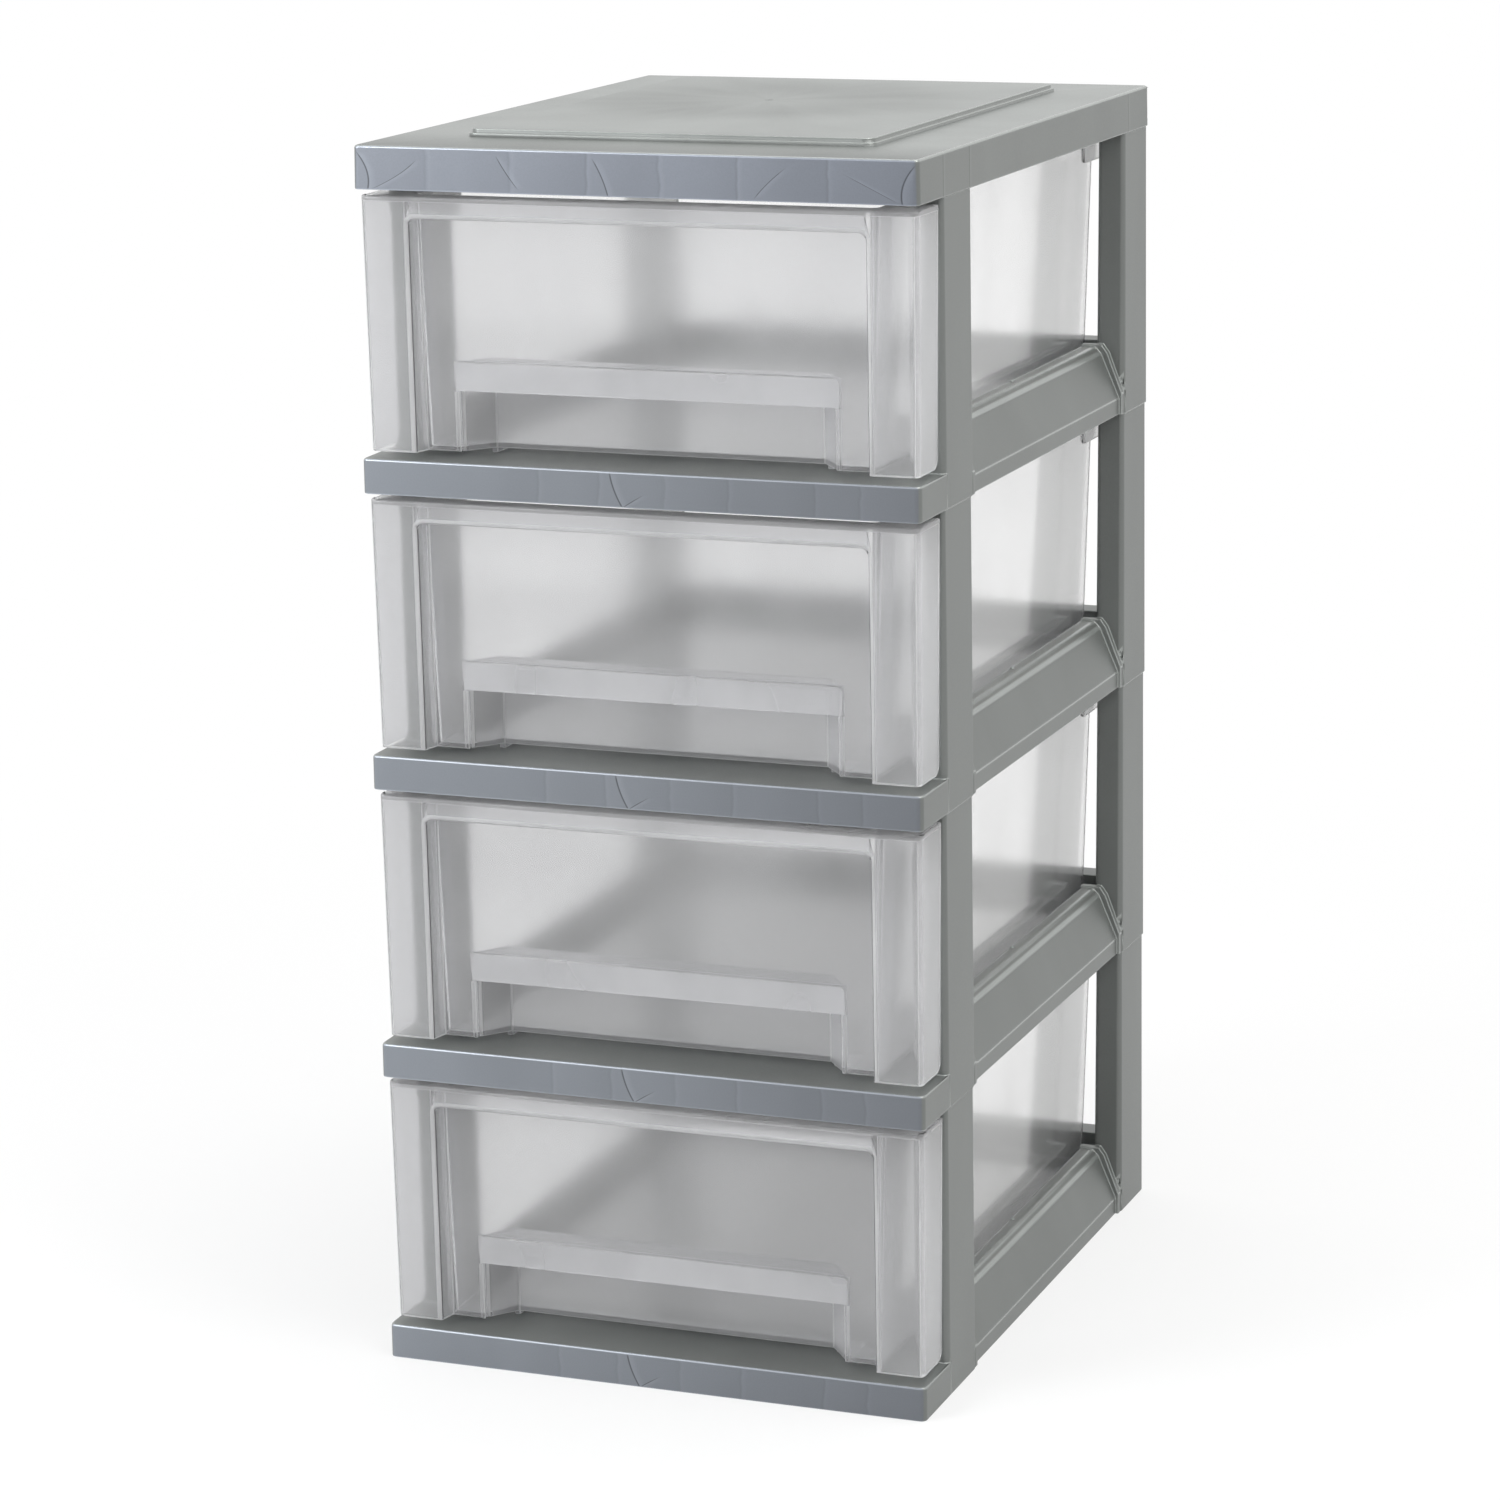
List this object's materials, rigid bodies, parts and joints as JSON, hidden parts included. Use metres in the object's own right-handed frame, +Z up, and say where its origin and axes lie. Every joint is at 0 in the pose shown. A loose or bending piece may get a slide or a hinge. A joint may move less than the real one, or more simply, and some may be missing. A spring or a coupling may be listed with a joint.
{
  "type": "drawer tower",
  "caption": "Tower of stacked open moulded frames with a lid, each level holding one translucent sliding drawer with a recessed front and finger pocket.",
  "frame": {"origin": "middle of the footprint, on the surface the tower stands on", "axes": "+Z up, front towards -Y, +X to the right seen from the front"},
  "size_m": [0.27, 0.357, 0.5818],
  "materials": {
    "frame_plastic": "satin metallic grey polypropylene",
    "drawer_plastic": "frosted translucent polypropylene"
  },
  "bodies": {
    "tower": {"frame_1": "frame_plastic", "frame_2": "frame_plastic", "frame_3": "frame_plastic", "frame_4": "frame_plastic", "top_cover": "frame_plastic"},
    "drawer_1": {"drawer_1": "drawer_plastic"},
    "drawer_2": {"drawer_2": "drawer_plastic"},
    "drawer_3": {"drawer_3": "drawer_plastic"},
    "drawer_4": {"drawer_4": "drawer_plastic"}
  },
  "joints": [
    {"name": "drawer_1_slide", "type": "slide", "parent": "tower", "child": "drawer_1", "axis": [0, -1, 0], "range_m": [0, 0.222]},
    {"name": "drawer_2_slide", "type": "slide", "parent": "tower", "child": "drawer_2", "axis": [0, -1, 0], "range_m": [0, 0.222]},
    {"name": "drawer_3_slide", "type": "slide", "parent": "tower", "child": "drawer_3", "axis": [0, -1, 0], "range_m": [0, 0.222]},
    {"name": "drawer_4_slide", "type": "slide", "parent": "tower", "child": "drawer_4", "axis": [0, -1, 0], "range_m": [0, 0.222]}
  ]
}
